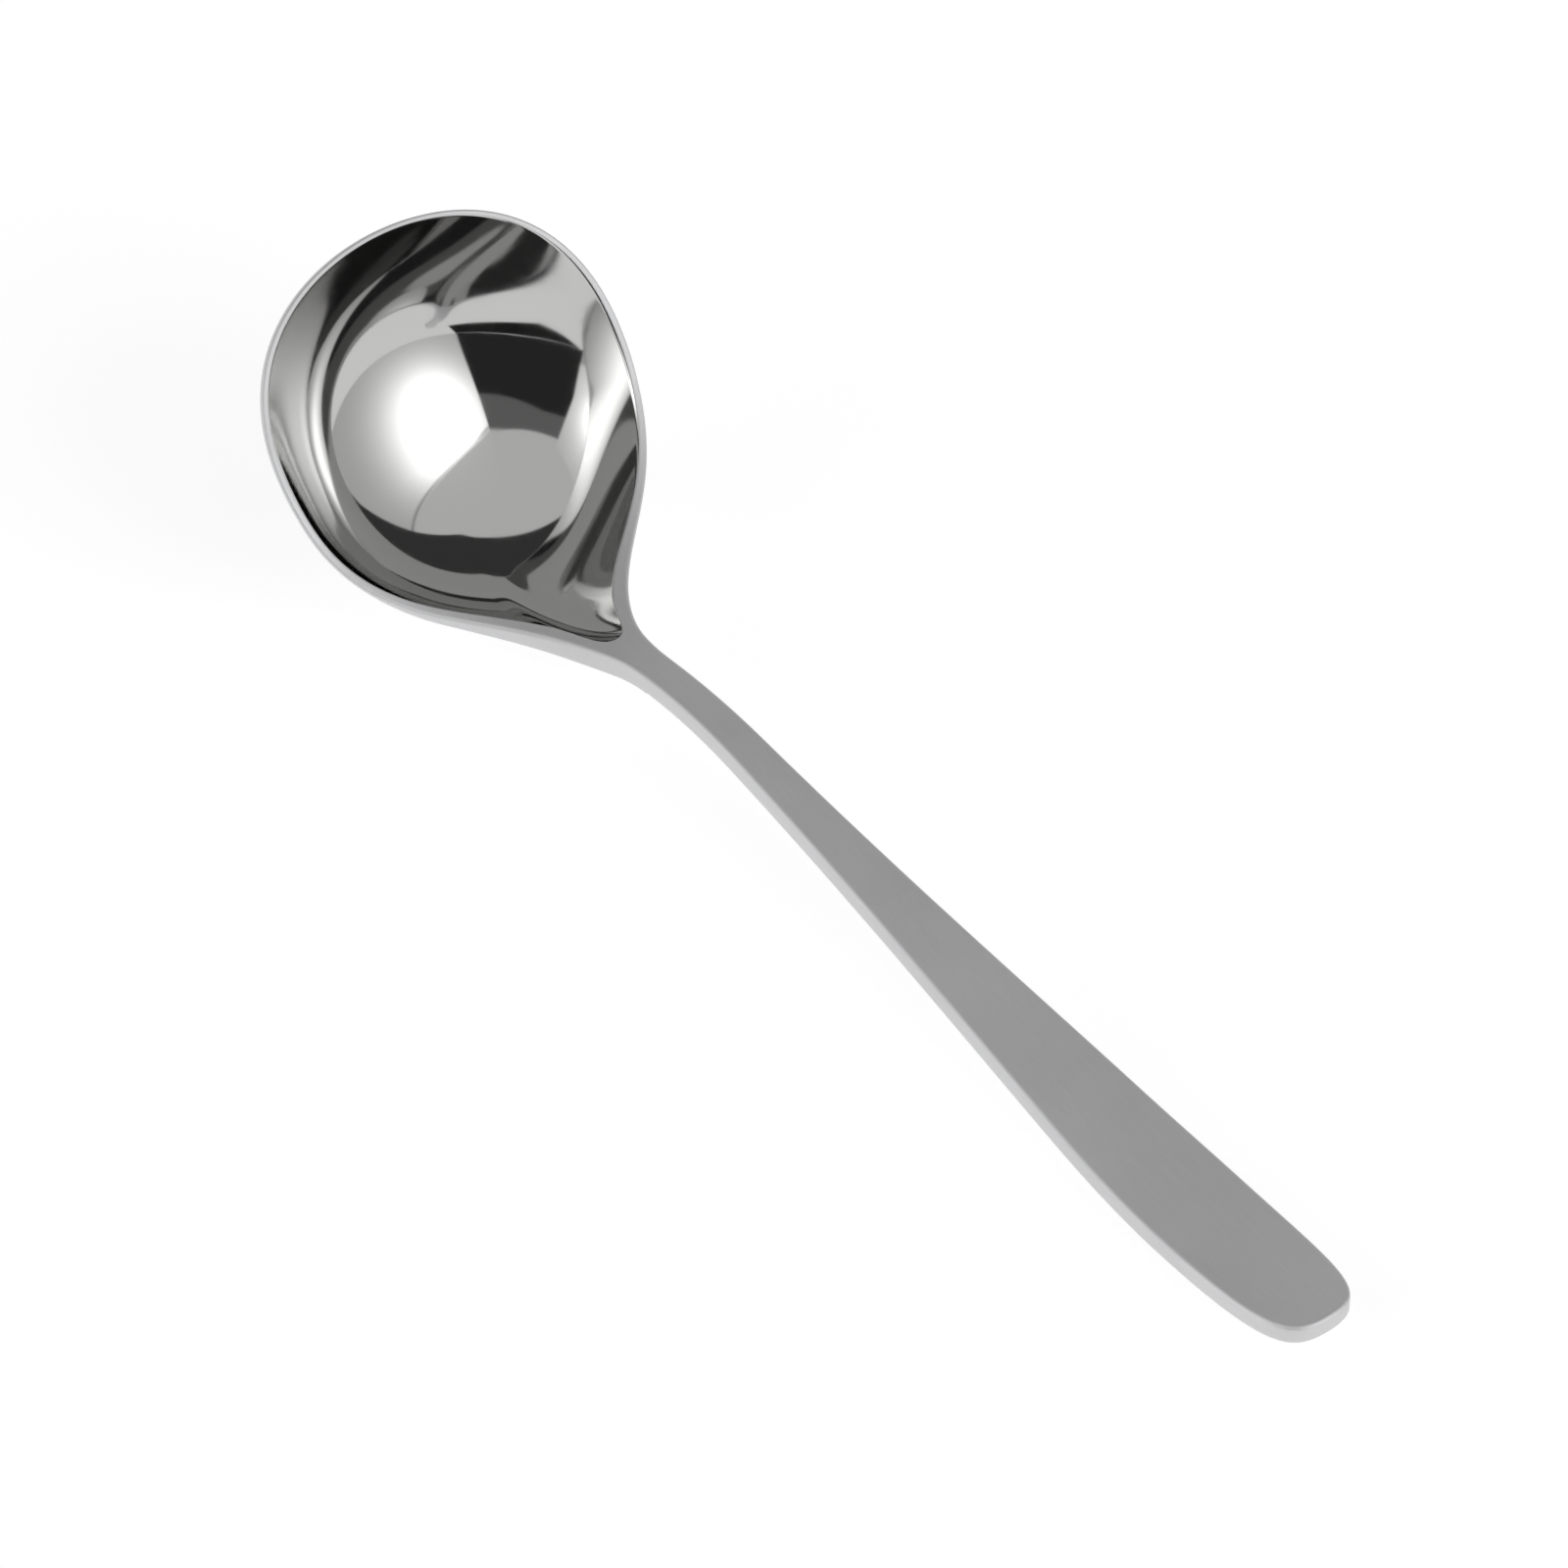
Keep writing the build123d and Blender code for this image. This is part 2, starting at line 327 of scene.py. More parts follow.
def levelLines(r, way, distance, even):
    # plan of the level lines, from the deepest place, where r is 0, to the edge of the hollow
    grown = r ** bowlSizes["edgeFade"]
    reach = r * (grown * distance + (1 - grown) * even)
    deepest = np.array((bowlSizes["deepestPlace"], 0.0))
    return deepest + reach[..., None] * (way / distance[:, None]), reach


def softEdge(gap, wall):
    # the drop that rounds over the hollow's edge, at this gap from its crease
    soft = bowlSizes["poolRound"]
    return np.where(gap < soft, wall * (soft - gap) ** 2 / (4 * soft), 0.0)


def edgeBand(q, outline, inward, inner, wall):
    # from the hollow's edge over the land, the rounded rim and its side to the underside
    size = bowlSizes
    rounding = size["rimRound"] + (size["neckRound"] - size["rimRound"]) * smoothStep(
        outline[:, 0], size["thickeningStart"], size["poolReach"])
    thick = edgeThickness(outline[:, 0])
    landEnd = outline + inward * rounding[:, None]
    crease = np.where(q[:, None] >= 0, inner, (size["poolReach"], 0))
    turns = np.radians(np.linspace(0, 90, size["roundRings"]))
    plans, heights = [], []
    for part in size["landParts"]:
        plans.append(inner + (landEnd - inner) * part)
        heights.append(softEdge(np.linalg.norm(plans[-1] - crease, axis=-1), wall))
    for turn in turns[1:]:
        plans.append(outline + inward * (rounding * (1 - np.sin(turn)))[:, None])
        heights.append(-rounding * (1 - np.cos(turn)))
    for part in (1 / 3, 2 / 3):
        plans.append(outline)
        heights.append(-rounding - part * (thick - 2 * rounding))
    for turn in turns:
        plans.append(outline + inward * (rounding * (1 - np.cos(turn)))[:, None])
        heights.append(rounding * (1 - np.sin(turn)) - undersideDepth(plans[-1]))
    for part in np.linspace(1, 0, size["underLandRings"])[1:]:
        plans.append(inner + (landEnd - inner) * part)
        heights.append(-undersideDepth(plans[-1]))
    return np.array(plans), np.array(heights)


def bowlGrids():
    size = bowlSizes
    far = np.linspace(3, 2, size["farRibs"], endpoint=False)
    side = np.linspace(2, 1, size["shoulderRibs"], endpoint=False)
    nose = np.linspace(1, 0, size["noseRibs"], endpoint=False)
    neck = np.linspace(0, -1, size["neckRibs"])
    q = np.concatenate([far, side, nose, neck])
    poolCount = len(q) - len(neck) + 1
    outline = outlineAt(q)
    inward = inwards(lambda t: outlineAt(-t), -q)
    # the rim is cut at a slant, so its rounded far end stands back a little
    outline = outline + inward * (size["farTrim"] * np.clip(inward[:, :1], 0, None))
    inner = np.where(q[:, None] >= 0, hollowEdge(q, *pool), outline * (1, 0))
    way = inner[:poolCount] - (size["deepestPlace"], 0)
    distance = np.linalg.norm(way, axis=-1)
    even = evenDistance(np.arctan2(np.abs(way[:, 1]), way[:, 0]), pool)

    # the hollow, from its deepest place to its rounded edge, with closer rings near the edge
    fade = size["edgeFade"]
    wall = -2 * size["depth"] * (1 + size["steepness"]) / ((1 + fade) * distance - fade * even)
    steps = np.linspace(0, 1, size["poolRings"])
    r = (steps * (1.5 - 0.5 * steps * steps))[:, None]
    poolPlan, reach = levelLines(r, way, distance, even)
    poolHeight = softEdge(distance - reach, wall) - pressDrop(r, size["depth"])

    # the edge all round, and the underside of the cup on the same level lines as the hollow
    wall = np.concatenate([wall, np.full(len(neck) - 1, wall[-1])])
    bandPlan, bandHeight = edgeBand(q, outline, inward, inner, wall)
    cupPlan = levelLines(np.linspace(1, 0, size["undersideRings"])[:, None], way, distance, even)[0]
    cupHeight = -undersideDepth(cupPlan)

    # the cut at the neck, closed between its top and its underside
    half = len(bandPlan) // 2
    endPlan = np.stack([bandPlan[:half, -1], bandPlan[::-1][:half, -1]])
    endHeight = np.stack([bandHeight[:half, -1], bandHeight[::-1][:half, -1]])

    def placed(plan, height):
        return bentPlace(plan[..., 0], plan[..., 1], height) * mm
    return [
        (placed(poolPlan, poolHeight), 0, True),
        (placed(bandPlan, bandHeight), 1, False),
        (placed(cupPlan, cupHeight), 1, False),
        (placed(endPlan, endHeight), 1, True),
    ]


bowl = weldHalves("spoonBowl", bowlGrids())
# the frame says where the spoon stands: its handle lies with its lowest place and its tip in the box
stretch = np.linspace(bowlSizes["neckReach"], middleLine["lineEnd"], fineSteps)
underside = bentPlace(stretch, 0.0, -bowlSizes["thickness"]) * mm
handleLow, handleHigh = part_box("handle")
tipEnd = bentPlace(middleLine["lineEnd"], 0.0, 0.0) * mm
stand = Vector((handleHigh[0] - tipEnd[0], 0.0, handleLow[2] - underside[:, 2].min()))
bowl.data.transform(Matrix.Translation(stand))
print("spoon stands at", [round(v / mm, 2) for v in stand])


# Handle, grown by Geometry Nodes: an edge section swept round half the outline, laid on the
# middle line and mirrored

handleSizes = {
    "Waist Place": bowlSizes["neckReach"] * mm,
    "Neck Half": bowlSizes["neckWidth"] / 2 * mm,
    "Taper Length": 109.6 * mm,
    "Taper Start Pull": 0.45,
    "Taper End Pull": 0.21,
    "Handle Half": 7.3 * mm,
    "Tip Length": 24.4 * mm,
    "Tip Side Pull": 0.86,
    "Tip End Pull": 0.88,
    "Thickness": bowlSizes["thickness"] * mm,
    "Edge Round": 0.6 * mm,
    "Flat Reach": 2.0 * mm,      # how far the edge section goes in before it is drawn to the middle
}
handleSteps = {"taper": 140, "tip": 110, "edge": 8, "guide": 900}        # points on its curves
handleWeld = {"grown": 0.004 * mm, "finished": 0.0001 * mm}
# drawn to the middle: points from this share of the flat's reach inwards, and the tip this near to it
handleMiddle = {"share": 0.99, "near": 0.001 * mm}


def guideCurve(name, points):
    line = bpy.data.curves.new(name, "CURVE")
    line.dimensions = "3D"
    spline = line.splines.new("POLY")
    spline.points.add(len(points) - 1)
    spline.points.foreach_set("co", np.c_[points, np.ones(len(points))].ravel())
    return addObject(name, line)


def handleTree():
    tree = bpy.data.node_groups.new("handleFromSection", "GeometryNodeTree")
    sockets = {"Guide": tree.interface.new_socket("Guide", in_out="INPUT", socket_type="NodeSocketObject")}
    for name in handleSizes:
        sockets[name] = tree.interface.new_socket(name, in_out="INPUT", socket_type="NodeSocketFloat")
    tree.interface.new_socket("Geometry", in_out="OUTPUT", socket_type="NodeSocketGeometry")
    given = addNode(tree, "NodeGroupInput").outputs

    sums, points, vectors = "ShaderNodeMath", "ShaderNodeCombineXYZ", "ShaderNodeVectorMath"
    bezier = "GeometryNodeCurvePrimitiveBezierSegment"

    # half the outline in plan: the long taper and the rounded tip
    waist, neckHalf, half = given["Waist Place"], given["Neck Half"], given["Handle Half"]
    widest = addNode(tree, sums, {0: waist, 1: given["Taper Length"]}, operation="ADD")
    tipEnd = addNode(tree, sums, {0: widest, 1: given["Tip Length"]}, operation="ADD")
    leave = addNode(tree, sums, {
        0: given["Taper Length"], 1: given["Taper Start Pull"], 2: waist}, operation="MULTIPLY_ADD")
    arrive = addNode(tree, sums, {
        0: given["Taper Length"], 1: given["Taper End Pull"]}, operation="MULTIPLY")
    arrive = addNode(tree, sums, {0: widest, 1: arrive}, operation="SUBTRACT")
    taper = addNode(tree, bezier, {
        "Resolution": handleSteps["taper"],
        "Start": addNode(tree, points, {0: waist, 1: neckHalf}),
        "Start Handle": addNode(tree, points, {0: leave, 1: neckHalf}),
        "End Handle": addNode(tree, points, {0: arrive, 1: half}),
        "End": addNode(tree, points, {0: widest, 1: half}),
    })
    leave = addNode(tree, sums, {
        0: given["Tip Length"], 1: given["Tip Side Pull"], 2: widest}, operation="MULTIPLY_ADD")
    arrive = addNode(tree, sums, {0: half, 1: given["Tip End Pull"]}, operation="MULTIPLY")
    tip = addNode(tree, bezier, {
        "Resolution": handleSteps["tip"],
        "Start": addNode(tree, points, {0: widest, 1: half}),
        "Start Handle": addNode(tree, points, {0: leave, 1: half}),
        "End Handle": addNode(tree, points, {0: tipEnd, 1: arrive}),
        "End": addNode(tree, points, {0: tipEnd}),
    })
    outline = addNode(tree, "GeometryNodeJoinGeometry", {0: taper})
    tree.links.new(tip.outputs[0], outline.inputs[0])
    outline = addNode(tree, "GeometryNodeResampleCurve", {"Curve": outline}, mode="EVALUATED")
    outline = addNode(tree, "GeometryNodeCaptureAttribute", {"Geometry": outline})
    outline.capture_items.new("VECTOR", "place")
    outline.capture_items.new("VECTOR", "way")
    tree.links.new(addNode(tree, "GeometryNodeInputPosition").outputs[0], outline.inputs["place"])
    tree.links.new(addNode(tree, "GeometryNodeInputTangent").outputs[0], outline.inputs["way"])

    # the edge section: x is how far in from the outline, y how high
    low = addNode(tree, sums, {0: given["Thickness"], 1: -1.0}, operation="MULTIPLY")
    section = addNode(tree, "GeometryNodeCurvePrimitiveQuadrilateral", {
        "Point 1": addNode(tree, points, {0: given["Flat Reach"]}),
        "Point 2": (0.0, 0.0, 0.0),
        "Point 3": addNode(tree, points, {1: low}),
        "Point 4": addNode(tree, points, {0: given["Flat Reach"], 1: low}),
    }, mode="POINTS")
    section = addNode(tree, "GeometryNodeSetSplineCyclic", {"Geometry": section, "Cyclic": False})
    section = addNode(tree, "GeometryNodeFilletCurve", {
        "Curve": section, "Count": handleSteps["edge"], "Radius": given["Edge Round"]}, mode="POLY")
    section = addNode(tree, "GeometryNodeCaptureAttribute", {"Geometry": section})
    section.capture_items.new("VECTOR", "edge")
    tree.links.new(addNode(tree, "GeometryNodeInputPosition").outputs[0], section.inputs["edge"])
    swept = addNode(tree, "GeometryNodeCurveToMesh", {
        "Curve": outline.outputs["Geometry"], "Profile Curve": section.outputs["Geometry"]})

    # every swept point goes in from the outline by its own amount, the innermost ones to the middle
    way = addNode(tree, "ShaderNodeSeparateXYZ", {0: outline.outputs["way"]}).outputs
    edge = addNode(tree, "ShaderNodeSeparateXYZ", {0: section.outputs["edge"]}).outputs
    outer = addNode(tree, "ShaderNodeSeparateXYZ", {0: outline.outputs["place"]}).outputs
    aside = addNode(tree, sums, {0: way[0], 1: -1.0}, operation="MULTIPLY")
    inward = addNode(tree, points, {0: way[1], 1: aside})
    inset = addNode(tree, sums, {0: edge[0], 1: given["Edge Round"]}, operation="MINIMUM")
    inset = addNode(tree, vectors, {0: inward, "Scale": inset}, operation="SCALE")
    plan = addNode(tree, vectors, {0: outline.outputs["place"], 1: inset}, operation="ADD")
    plan = addNode(tree, "ShaderNodeSeparateXYZ", {0: plan}).outputs
    innermost = addNode(tree, sums, {
        0: given["Flat Reach"], 1: handleMiddle["share"]}, operation="MULTIPLY")
    flank = addNode(tree, sums, {0: edge[0], 1: innermost}, operation="LESS_THAN")
    beside = addNode(tree, sums, {0: outer[1], 1: handleMiddle["near"]}, operation="GREATER_THAN")
    flank = addNode(tree, sums, {0: flank, 1: beside}, operation="MULTIPLY")
    across = addNode(tree, sums, {0: plan[1], 1: flank}, operation="MULTIPLY")

    # and on to the middle line: cut square at the neck and upright at the tip
    guide = addNode(tree, "GeometryNodeObjectInfo", {"Object": given["Guide"]}, transform_space="ORIGINAL")
    length = addNode(tree, sums, {0: plan[0], 1: waist}, operation="SUBTRACT")
    along = addNode(tree, "GeometryNodeSampleCurve", {
        "Curves": guide.outputs["Geometry"], "Length": length}, mode="LENGTH")
    upright = addNode(tree, "ShaderNodeMapRange", {
        "Value": plan[0], "From Min": waist, "From Max": tipEnd, "To Min": 1.0, "To Max": 0.0})
    upright = addNode(tree, points, {0: upright, 1: 1.0, 2: 1.0})
    square = addNode(tree, vectors, {
        0: along.outputs["Tangent"], 1: (0.0, 1.0, 0.0)}, operation="CROSS_PRODUCT")
    square = addNode(tree, vectors, {0: square, 1: upright}, operation="MULTIPLY")
    height = addNode(tree, vectors, {0: square, "Scale": edge[1]}, operation="SCALE")
    place = addNode(tree, vectors, {0: along.outputs["Position"], 1: height}, operation="ADD")
    place = addNode(tree, vectors, {0: place, 1: addNode(tree, points, {1: across})}, operation="ADD")
    half = addNode(tree, "GeometryNodeSetPosition", {"Geometry": swept, "Position": place})

    mirrored = addNode(tree, "GeometryNodeTransform", {"Geometry": half, "Scale": (1.0, -1.0, 1.0)})
    mirrored = addNode(tree, "GeometryNodeFlipFaces", {"Mesh": mirrored})
    whole = addNode(tree, "GeometryNodeJoinGeometry", {0: half})
    tree.links.new(mirrored.outputs[0], whole.inputs[0])
    whole = addNode(tree, "GeometryNodeMergeByDistance", {
        "Geometry": whole, "Distance": handleWeld["grown"]})
    whole = addNode(tree, "GeometryNodeSetShadeSmooth", {"Geometry": whole})
    whole = addNode(tree, "GeometryNodeRealizeInstances", {"Geometry": whole})
    addNode(tree, "NodeGroupOutput", {0: whole})
    return tree, sockets


def makeHandle(material):
    # the guide goes a little past the tip, so that every place of the outline is found on it
    stretch = np.linspace(handleSizes["Waist Place"] / mm, middleLine["lineEnd"] + 1.0, handleSteps["guide"])
    guide = guideCurve("middleLineGuide", bentPlace(stretch, 0.0, 0.0) * mm + np.array(stand))
    holder = addObject("handleHolder", bpy.data.meshes.new("handleHolder"))
    tree, sockets = handleTree()
    grow = holder.modifiers.new("grow", "NODES")
    grow.node_group = tree
    grow[sockets["Guide"].identifier] = guide
    for name, value in handleSizes.items():
        grow[sockets[name].identifier] = value
    depsgraph = bpy.context.evaluated_depsgraph_get()
    mesh = bpy.data.meshes.new_from_object(holder.evaluated_get(depsgraph))
    mesh.name = "spoonHandle"
    for helper in (holder, guide):
        bpy.data.objects.remove(helper)
    mesh.materials.clear()        # the holder brings an empty slot
    mesh.materials.append(material)
    return finishPiece("spoonHandle", mesh, handleWeld["finished"])


# Materials: two finishes of the same steel

def steel(name, colour, roughness):
    material = emptyMaterial(name)
    tree = material.node_tree
    shader = addNode(tree, "ShaderNodeBsdfPrincipled", {
        "Base Color": hexColour(colour), "Metallic": 1.0, "Roughness": roughness})
    addNode(tree, "ShaderNodeOutputMaterial", {"Surface": shader})
    coordinates = addNode(tree, "ShaderNodeTexCoord").outputs["Object"]
    return material, tree, shader, coordinates


# Mirror polish of the hollow: neutral grey, faint wipe marks and the slight waviness of pressed sheet
polishedLook = {
    "colour": "#c0c0bf", "roughness": 0.04, "wipedRoughness": 0.085,
    "wipeSize": 4.0 * mm, "waveSize": 7.0 * mm, "waveHeight": 0.0012 * mm,
}
polished, tree, shader, coordinates = steel(
    "polishedStainlessSteel", polishedLook["colour"], polishedLook["roughness"])
wipes = addNode(tree, "ShaderNodeTexNoise", {
    "Vector": coordinates, "Scale": 1 / polishedLook["wipeSize"], "Detail": 4.0, "Roughness": 0.6})
blur = addNode(tree, "ShaderNodeMapRange", {
    "Value": wipes, "From Min": 0.3, "From Max": 0.75,
    "To Min": polishedLook["roughness"], "To Max": polishedLook["wipedRoughness"]})
tree.links.new(blur.outputs[0], shader.inputs["Roughness"])
waves = addNode(tree, "ShaderNodeTexNoise", {
    "Vector": coordinates, "Scale": 1 / polishedLook["waveSize"], "Detail": 1.0})
relief = addNode(tree, "ShaderNodeBump", {
    "Height": waves, "Distance": polishedLook["waveHeight"], "Strength": 1.0})
tree.links.new(relief.outputs[0], shader.inputs["Normal"])

# Satin finish of handle, land and outside: an even, soft grey with fine lengthwise brushing.
# Real brush lines are about 0.05 mm apart; they are drawn at 0.3 mm so that they hold in a picture.
satinLook = {
    "dark": "#d4d4d5", "light": "#dcdcdd", "roughness": 0.62, "clouded": 0.70,
    "lineSpacing": 0.3 * mm, "lineLength": 14.0 * mm, "lineDepth": 0.004 * mm, "cloudSize": 18.0 * mm,
}
satin, tree, shader, coordinates = steel(
    "satinStainlessSteel", satinLook["light"], satinLook["roughness"])
spread = 1 / satinLook["lineSpacing"]
stretched = addNode(tree, "ShaderNodeMapping", {
    "Vector": coordinates, "Scale": (1 / satinLook["lineLength"], spread, spread)})
lines = addNode(tree, "ShaderNodeTexNoise", {
    "Vector": stretched, "Scale": 1.0, "Detail": 3.0, "Roughness": 0.55})
clouds = addNode(tree, "ShaderNodeTexNoise", {
    "Vector": coordinates, "Scale": 1 / satinLook["cloudSize"], "Detail": 2.0})
blur = addNode(tree, "ShaderNodeMapRange", {
    "Value": clouds, "From Min": 0.3, "From Max": 0.7,
    "To Min": satinLook["roughness"], "To Max": satinLook["clouded"]})
tree.links.new(blur.outputs[0], shader.inputs["Roughness"])
shade = addNode(tree, "ShaderNodeMix", {
    0: lines, 6: hexColour(satinLook["dark"]), 7: hexColour(satinLook["light"])}, data_type="RGBA")
tree.links.new(shade.outputs[2], shader.inputs["Base Color"])
relief = addNode(tree, "ShaderNodeBump", {
    "Height": lines, "Distance": satinLook["lineDepth"], "Strength": 1.0})
tree.links.new(relief.outputs[0], shader.inputs["Normal"])
print("materials made")

bowl.data.materials.append(polished)
bowl.data.materials.append(satin)
handle = makeHandle(satin)
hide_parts("bowl")
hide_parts("handle")
for piece, slotName in ((bowl, "polished_steel"), (handle, "satin_steel")):
    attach(piece, "root")


# Studio: a light tent with an open dark front, painted round the spoon by direction in degrees.
# Azimuth 0 is along the handle, 90 to the far side. Every wall has its span in azimuth, the way it
# faces, shelves (from this height up, this level) and perhaps the spots of a lamp behind the cloth.

tentLook = {
    "soft": 0.8,             # half the fade of an edge, in degrees
    "bow": 0.4,              # how far level edges bow; 1 is a flat wall
    "leastTurn": 0.05,       # where that bow stops, at the ends of a wall
    "spill": 0.03,           # share of a lamp's spot that gets on the ceiling
}
tent = {
    "openFront": {"span": (-82, -14), "faces": -38, "shelves": [(-90, 0.03), (31, 0.17), (43.5, 0.72)]},
    "rightWall": {"span": (-14, 73), "faces": 30, "shelves": [(-90, 0.60), (46.2, 0.72)],
        "seam": {"height": 45.6, "half": 1.0, "dark": 0.55},
        "spots": [{"azimuth": 11, "height": 36, "width": 26, "glow": 1.2},
            {"azimuth": 13, "height": 35, "width": 15, "glow": 2.4}]},
    "leftWall": {"span": (-140, -82), "faces": -108, "shelves": [(-90, 0.30), (4, 0.70), (45, 0.72)],
        "spots": [{"azimuth": -104, "height": 16, "width": 19, "glow": 1.1},
            {"azimuth": -104, "height": 16, "width": 9, "glow": 2.0}]},
    "farGap": {"span": (73, 107), "faces": 142, "bow": 1.0, "shelves": [(-90, 0.05), (79.5, 0.72)]},
    "farWall": {"span": (107, 180), "faces": 142, "bow": 1.0,
        "shelves": [(-90, 0.75), (40, 0.05), (79.5, 0.72)]},
    "nearGap": {"span": (-180, -140), "faces": 142, "bow": 1.0,
        "shelves": [(-90, 0.75), (52, 0.05), (79.5, 0.72)]},
}


def wallShare(tree, wall, azimuth):
    # 1 on the wall and 0 beside it; the ends at 180 degrees meet and don't fade
    share = 1.0
    soft = tentLook["soft"]
    for stop, outwards in zip(wall["span"], (-soft, soft)):
        if abs(stop) < 180:
            edge = addNode(tree, "ShaderNodeMapRange", {
                "Value": azimuth, "From Min": stop + outwards, "From Max": stop - outwards},
                interpolation_type="SMOOTHSTEP")
            share = addNode(tree, "ShaderNodeMath", {0: edge, 1: share}, operation="MULTIPLY")
    return share


def wallHeight(tree, wall, turn, ratio):
    # degrees up the wall, measured so that level edges bow as on a flat wall
    bow = turn
    for operation, value in (
            ("SUBTRACT", math.radians(wall["faces"])), ("COSINE", 0.0),
            ("MAXIMUM", tentLook["leastTurn"]), ("POWER", wall.get("bow", tentLook["bow"]))):
        bow = addNode(tree, "ShaderNodeMath", {0: bow, 1: value}, operation=operation)
    height = addNode(tree, "ShaderNodeMath", {0: ratio, 1: bow}, operation="DIVIDE")
    for operation in ("ARCTANGENT", "DEGREES"):
        height = addNode(tree, "ShaderNodeMath", {0: height}, operation=operation)
    return height


def spotGlow(tree, spot, way):
    # a round glow, brightest in the middle and soft outwards
    turn, lift = math.radians(spot["azimuth"]), math.radians(spot["height"])
    centre = Vector((math.cos(turn), math.sin(turn), math.tan(lift))).normalized()
    sharp = 2 / math.radians(spot["width"]) ** 2
    near = addNode(tree, "ShaderNodeVectorMath", {0: way, 1: centre}, operation="DOT_PRODUCT")
    glow = addNode(tree, "ShaderNodeMath", {
        0: near.outputs["Value"], 1: sharp, 2: -sharp}, operation="MULTIPLY_ADD")
    glow = addNode(tree, "ShaderNodeMath", {0: glow}, operation="EXPONENT")
    return addNode(tree, "ShaderNodeMath", {0: glow, 1: spot["glow"]}, operation="MULTIPLY")


def seamShade(tree, seam, height):
    # the sewn edge between wall and ceiling, a thin dark line
    line = 1.0
    for side in (-seam["half"], seam["half"]):
        near = addNode(tree, "ShaderNodeMapRange", {
            "Value": height, "From Min": seam["height"] + side, "From Max": seam["height"]},
            interpolation_type="SMOOTHSTEP")
        line = addNode(tree, "ShaderNodeMath", {0: near, 1: line}, operation="MULTIPLY")
    return addNode(tree, "ShaderNodeMath", {0: line, 1: -seam["dark"], 2: 1.0}, operation="MULTIPLY_ADD")


def wallLevel(tree, wall, way, height):
    soft = tentLook["soft"]
    level = before = 0.0
    for low, value in wall["shelves"]:
        above = addNode(tree, "ShaderNodeMapRange", {
            "Value": height, "From Min": low - soft, "From Max": low + soft},
            interpolation_type="SMOOTHSTEP")
        level = addNode(tree, "ShaderNodeMath", {
            0: above, 1: value - before, 2: level}, operation="MULTIPLY_ADD")
        before = value
    if "spots" in wall:        # the last shelf is the ceiling, which gets only a spill of the lamps
        lit = addNode(tree, "ShaderNodeMapRange", {
            "Value": above, "To Min": 1.0, "To Max": tentLook["spill"]})
        for spot in wall["spots"]:
            glow = spotGlow(tree, spot, way)
            level = addNode(tree, "ShaderNodeMath", {0: glow, 1: lit, 2: level}, operation="MULTIPLY_ADD")
    if "seam" in wall:
        shade = seamShade(tree, wall["seam"], height)
        level = addNode(tree, "ShaderNodeMath", {0: level, 1: shade}, operation="MULTIPLY")
    return level


def makeTent():
    world = bpy.data.worlds.new("lightTent")
    bpy.context.scene.world = world
    world.use_nodes = True
    tree = world.node_tree
    tree.nodes.clear()
    sums = "ShaderNodeMath"
    way = addNode(tree, "ShaderNodeTexCoord").outputs["Generated"]
    parts = addNode(tree, "ShaderNodeSeparateXYZ", {0: way}).outputs
    turn = addNode(tree, sums, {0: parts[1], 1: parts[0]}, operation="ARCTAN2")
    azimuth = addNode(tree, sums, {0: turn}, operation="DEGREES")
    ratio = addNode(tree, sums, {0: parts[2]}, operation="ARCSINE")
    ratio = addNode(tree, sums, {0: ratio}, operation="TANGENT")
    light = 0.0
    for wall in tent.values():
        share = wallShare(tree, wall, azimuth)
        level = wallLevel(tree, wall, way, wallHeight(tree, wall, turn, ratio))
        light = addNode(tree, sums, {0: share, 1: level, 2: light}, operation="MULTIPLY_ADD")
    background = addNode(tree, "ShaderNodeBackground", {"Color": hexColour("#ffffff"), "Strength": light})
    addNode(tree, "ShaderNodeOutputWorld", {"Surface": background})


# White floor: plain paper for the light that falls on the spoon; seen direct or in the steel
# it is lifted towards white and keeps a soft shadow
floorLook = {"reach": 3.0, "plain": "#e6e6e6", "shadow": "#a8a8a8", "lift": 0.75}


def makeFloor():
    far = floorLook["reach"]
    mesh = bpy.data.meshes.new("floor")
    mesh.from_pydata([(-far, -far, 0), (far, -far, 0), (far, far, 0), (-far, far, 0)], [], [(0, 1, 2, 3)])
    floor = addObject("floor", mesh)
    paper = emptyMaterial("whitePaper")
    tree = paper.node_tree
    plain = addNode(tree, "ShaderNodeBsdfDiffuse", {"Color": hexColour(floorLook["plain"])})
    shadow = addNode(tree, "ShaderNodeBsdfDiffuse", {"Color": hexColour(floorLook["shadow"])})
    lift = addNode(tree, "ShaderNodeEmission", {
        "Color": hexColour("#ffffff"), "Strength": floorLook["lift"]})
    seen = addNode(tree, "ShaderNodeAddShader", {0: shadow, 1: lift})
    rays = addNode(tree, "ShaderNodeLightPath").outputs
    shown = addNode(tree, "ShaderNodeMath", {
        0: rays["Is Camera Ray"], 1: rays["Is Glossy Ray"]}, operation="ADD")
    shown = addNode(tree, "ShaderNodeMath", {
        0: shown, 1: rays["Is Transmission Ray"]}, operation="ADD", use_clamp=True)
    mixed = addNode(tree, "ShaderNodeMixShader", {0: shown, 1: plain, 2: seen})
    addNode(tree, "ShaderNodeOutputMaterial", {"Surface": mixed})
    mesh.materials.append(paper)
    paper.cycles.emission_sampling = "NONE"        # the lift is only for what sees the floor


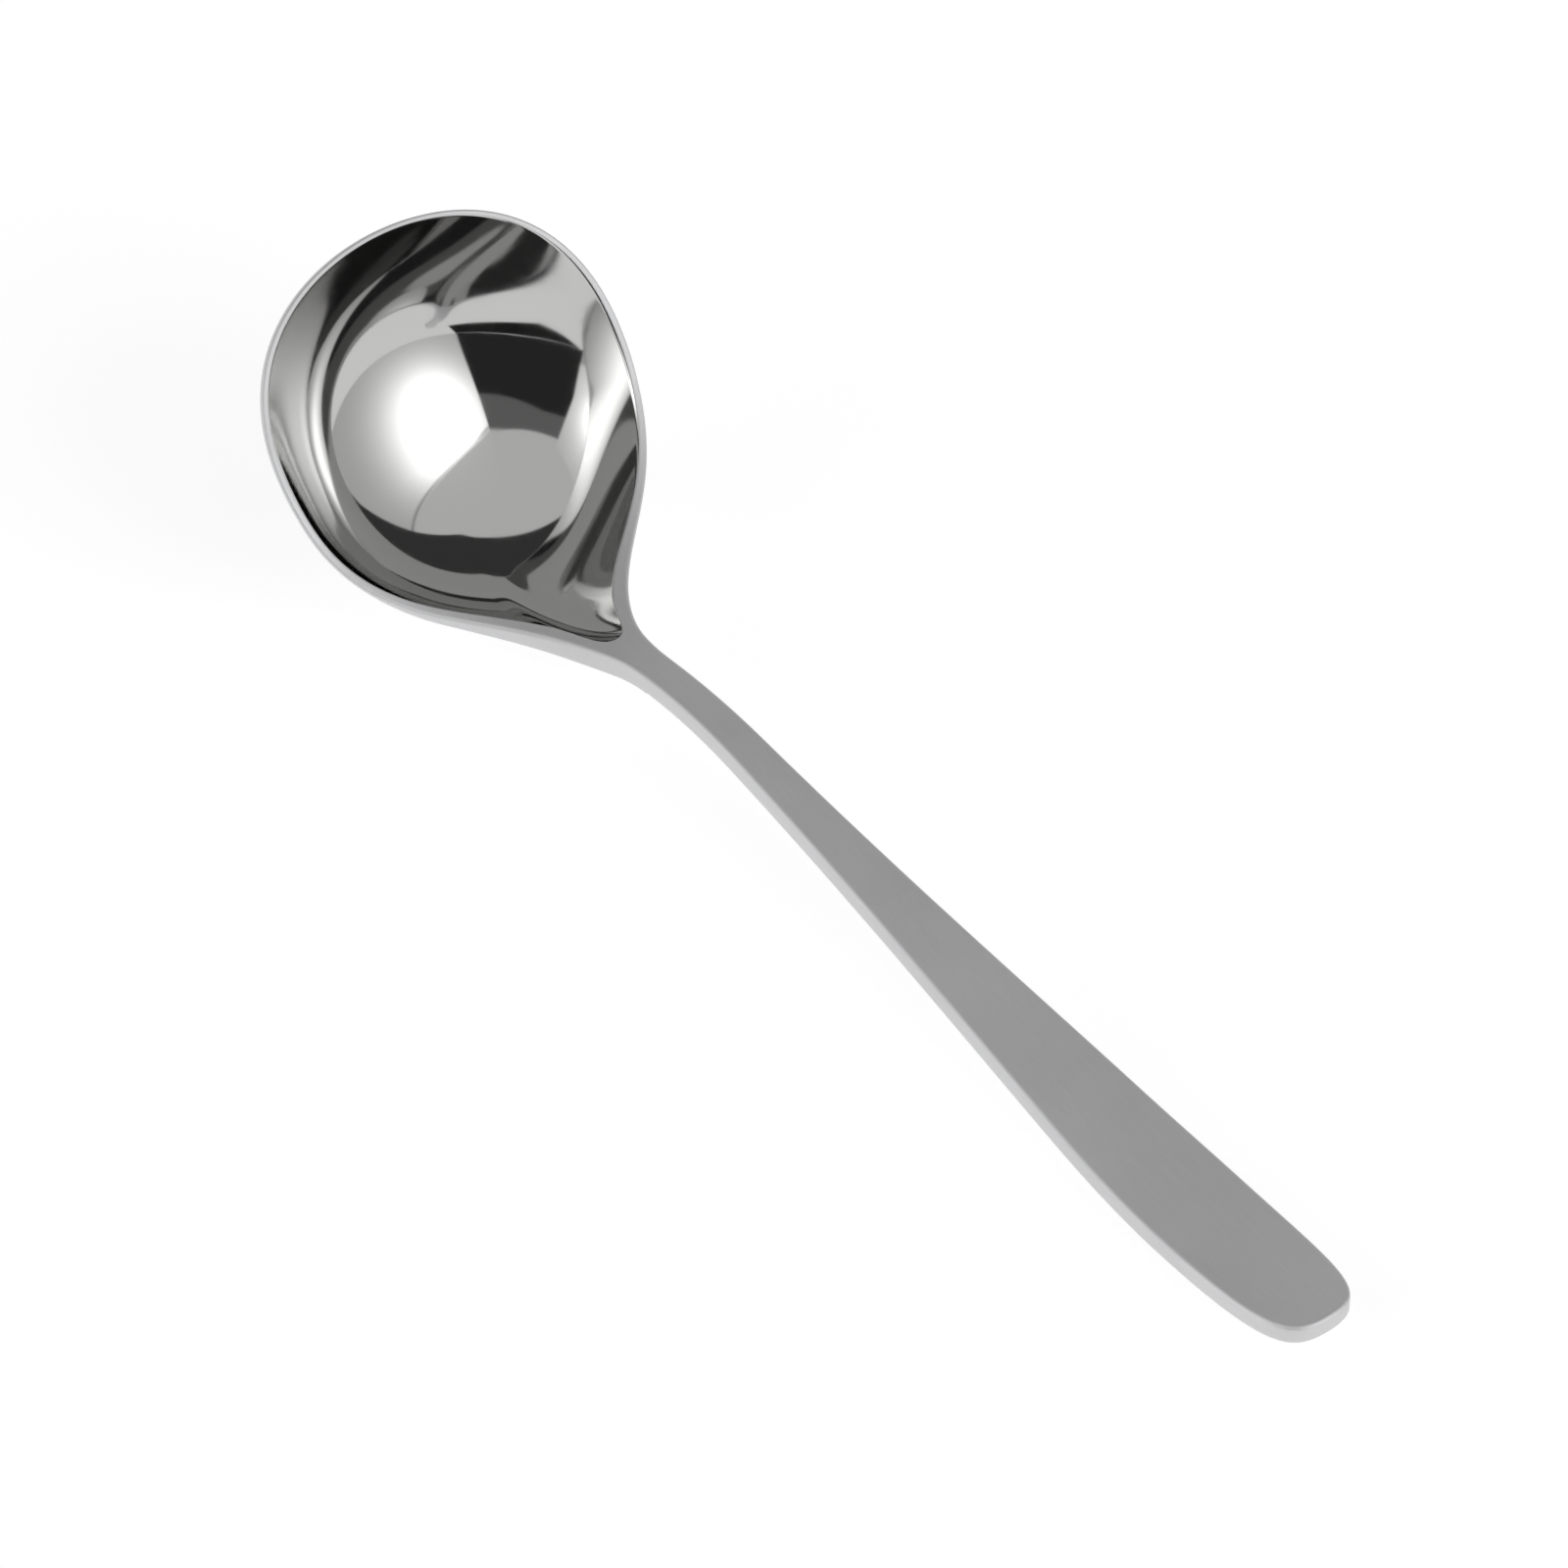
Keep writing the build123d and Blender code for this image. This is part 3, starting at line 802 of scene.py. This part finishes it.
# Black cloth on the table in front of the tent, out of the picture, which only the steel mirrors
clothSizes = {"start": 0.15, "end": 2.5, "lift": 0.5 * mm, "colour": "#2a2a2a"}


def makeFrontCloth():
    sides = [math.radians(angle) for angle in tent["openFront"]["span"]]
    reach = [clothSizes["start"], clothSizes["end"]]
    corners = [(r * math.cos(a), r * math.sin(a), clothSizes["lift"]) for r in reach for a in sides]
    mesh = bpy.data.meshes.new("frontCloth")
    mesh.from_pydata(corners, [], [(0, 2, 3, 1)])
    cloth = addObject("frontCloth", mesh)
    black = emptyMaterial("blackCloth")
    dull = addNode(black.node_tree, "ShaderNodeBsdfDiffuse", {"Color": hexColour(clothSizes["colour"])})
    addNode(black.node_tree, "ShaderNodeOutputMaterial", {"Surface": dull})
    mesh.materials.append(black)
    cloth.visible_camera = cloth.visible_diffuse = cloth.visible_shadow = False


# Camera as solved from the outline in the photo; the aim is in pixels from the middle of the picture
cameraView = {"azimuth": 52.0, "height": 45.0, "distance": 1149.3 * mm, "lens": 202.5, "sensor": 36.0,
    "pictureWidth": 1600, "aimAside": -339.85, "aimUp": -391.75}


def makeCamera():
    turn, lift = math.radians(cameraView["azimuth"]), math.radians(cameraView["height"])
    right = Vector((math.cos(turn), math.sin(turn), 0))
    up = Vector((-math.sin(turn) * math.sin(lift), math.cos(turn) * math.sin(lift), math.cos(lift)))
    back = right.cross(up)
    focal = cameraView["lens"] / cameraView["sensor"] * cameraView["pictureWidth"]        # in pixels
    aside = back - right * (cameraView["aimAside"] / focal) + up * (cameraView["aimUp"] / focal)
    place = stand + aside * cameraView["distance"]        # aimed from the widest place of the bowl
    lens = bpy.data.cameras.new("camera")
    lens.lens, lens.sensor_width = cameraView["lens"], cameraView["sensor"]
    camera = addObject("camera", lens)
    camera.matrix_world = Matrix((
        (right.x, up.x, back.x, place.x), (right.y, up.y, back.y, place.y),
        (right.z, up.z, back.z, place.z), (0, 0, 0, 1)))
    bpy.context.scene.camera = camera


makeTent()
makeFloor()
makeFrontCloth()
makeCamera()
bpy.context.scene.view_settings.view_transform = "Standard"
print("studio made")
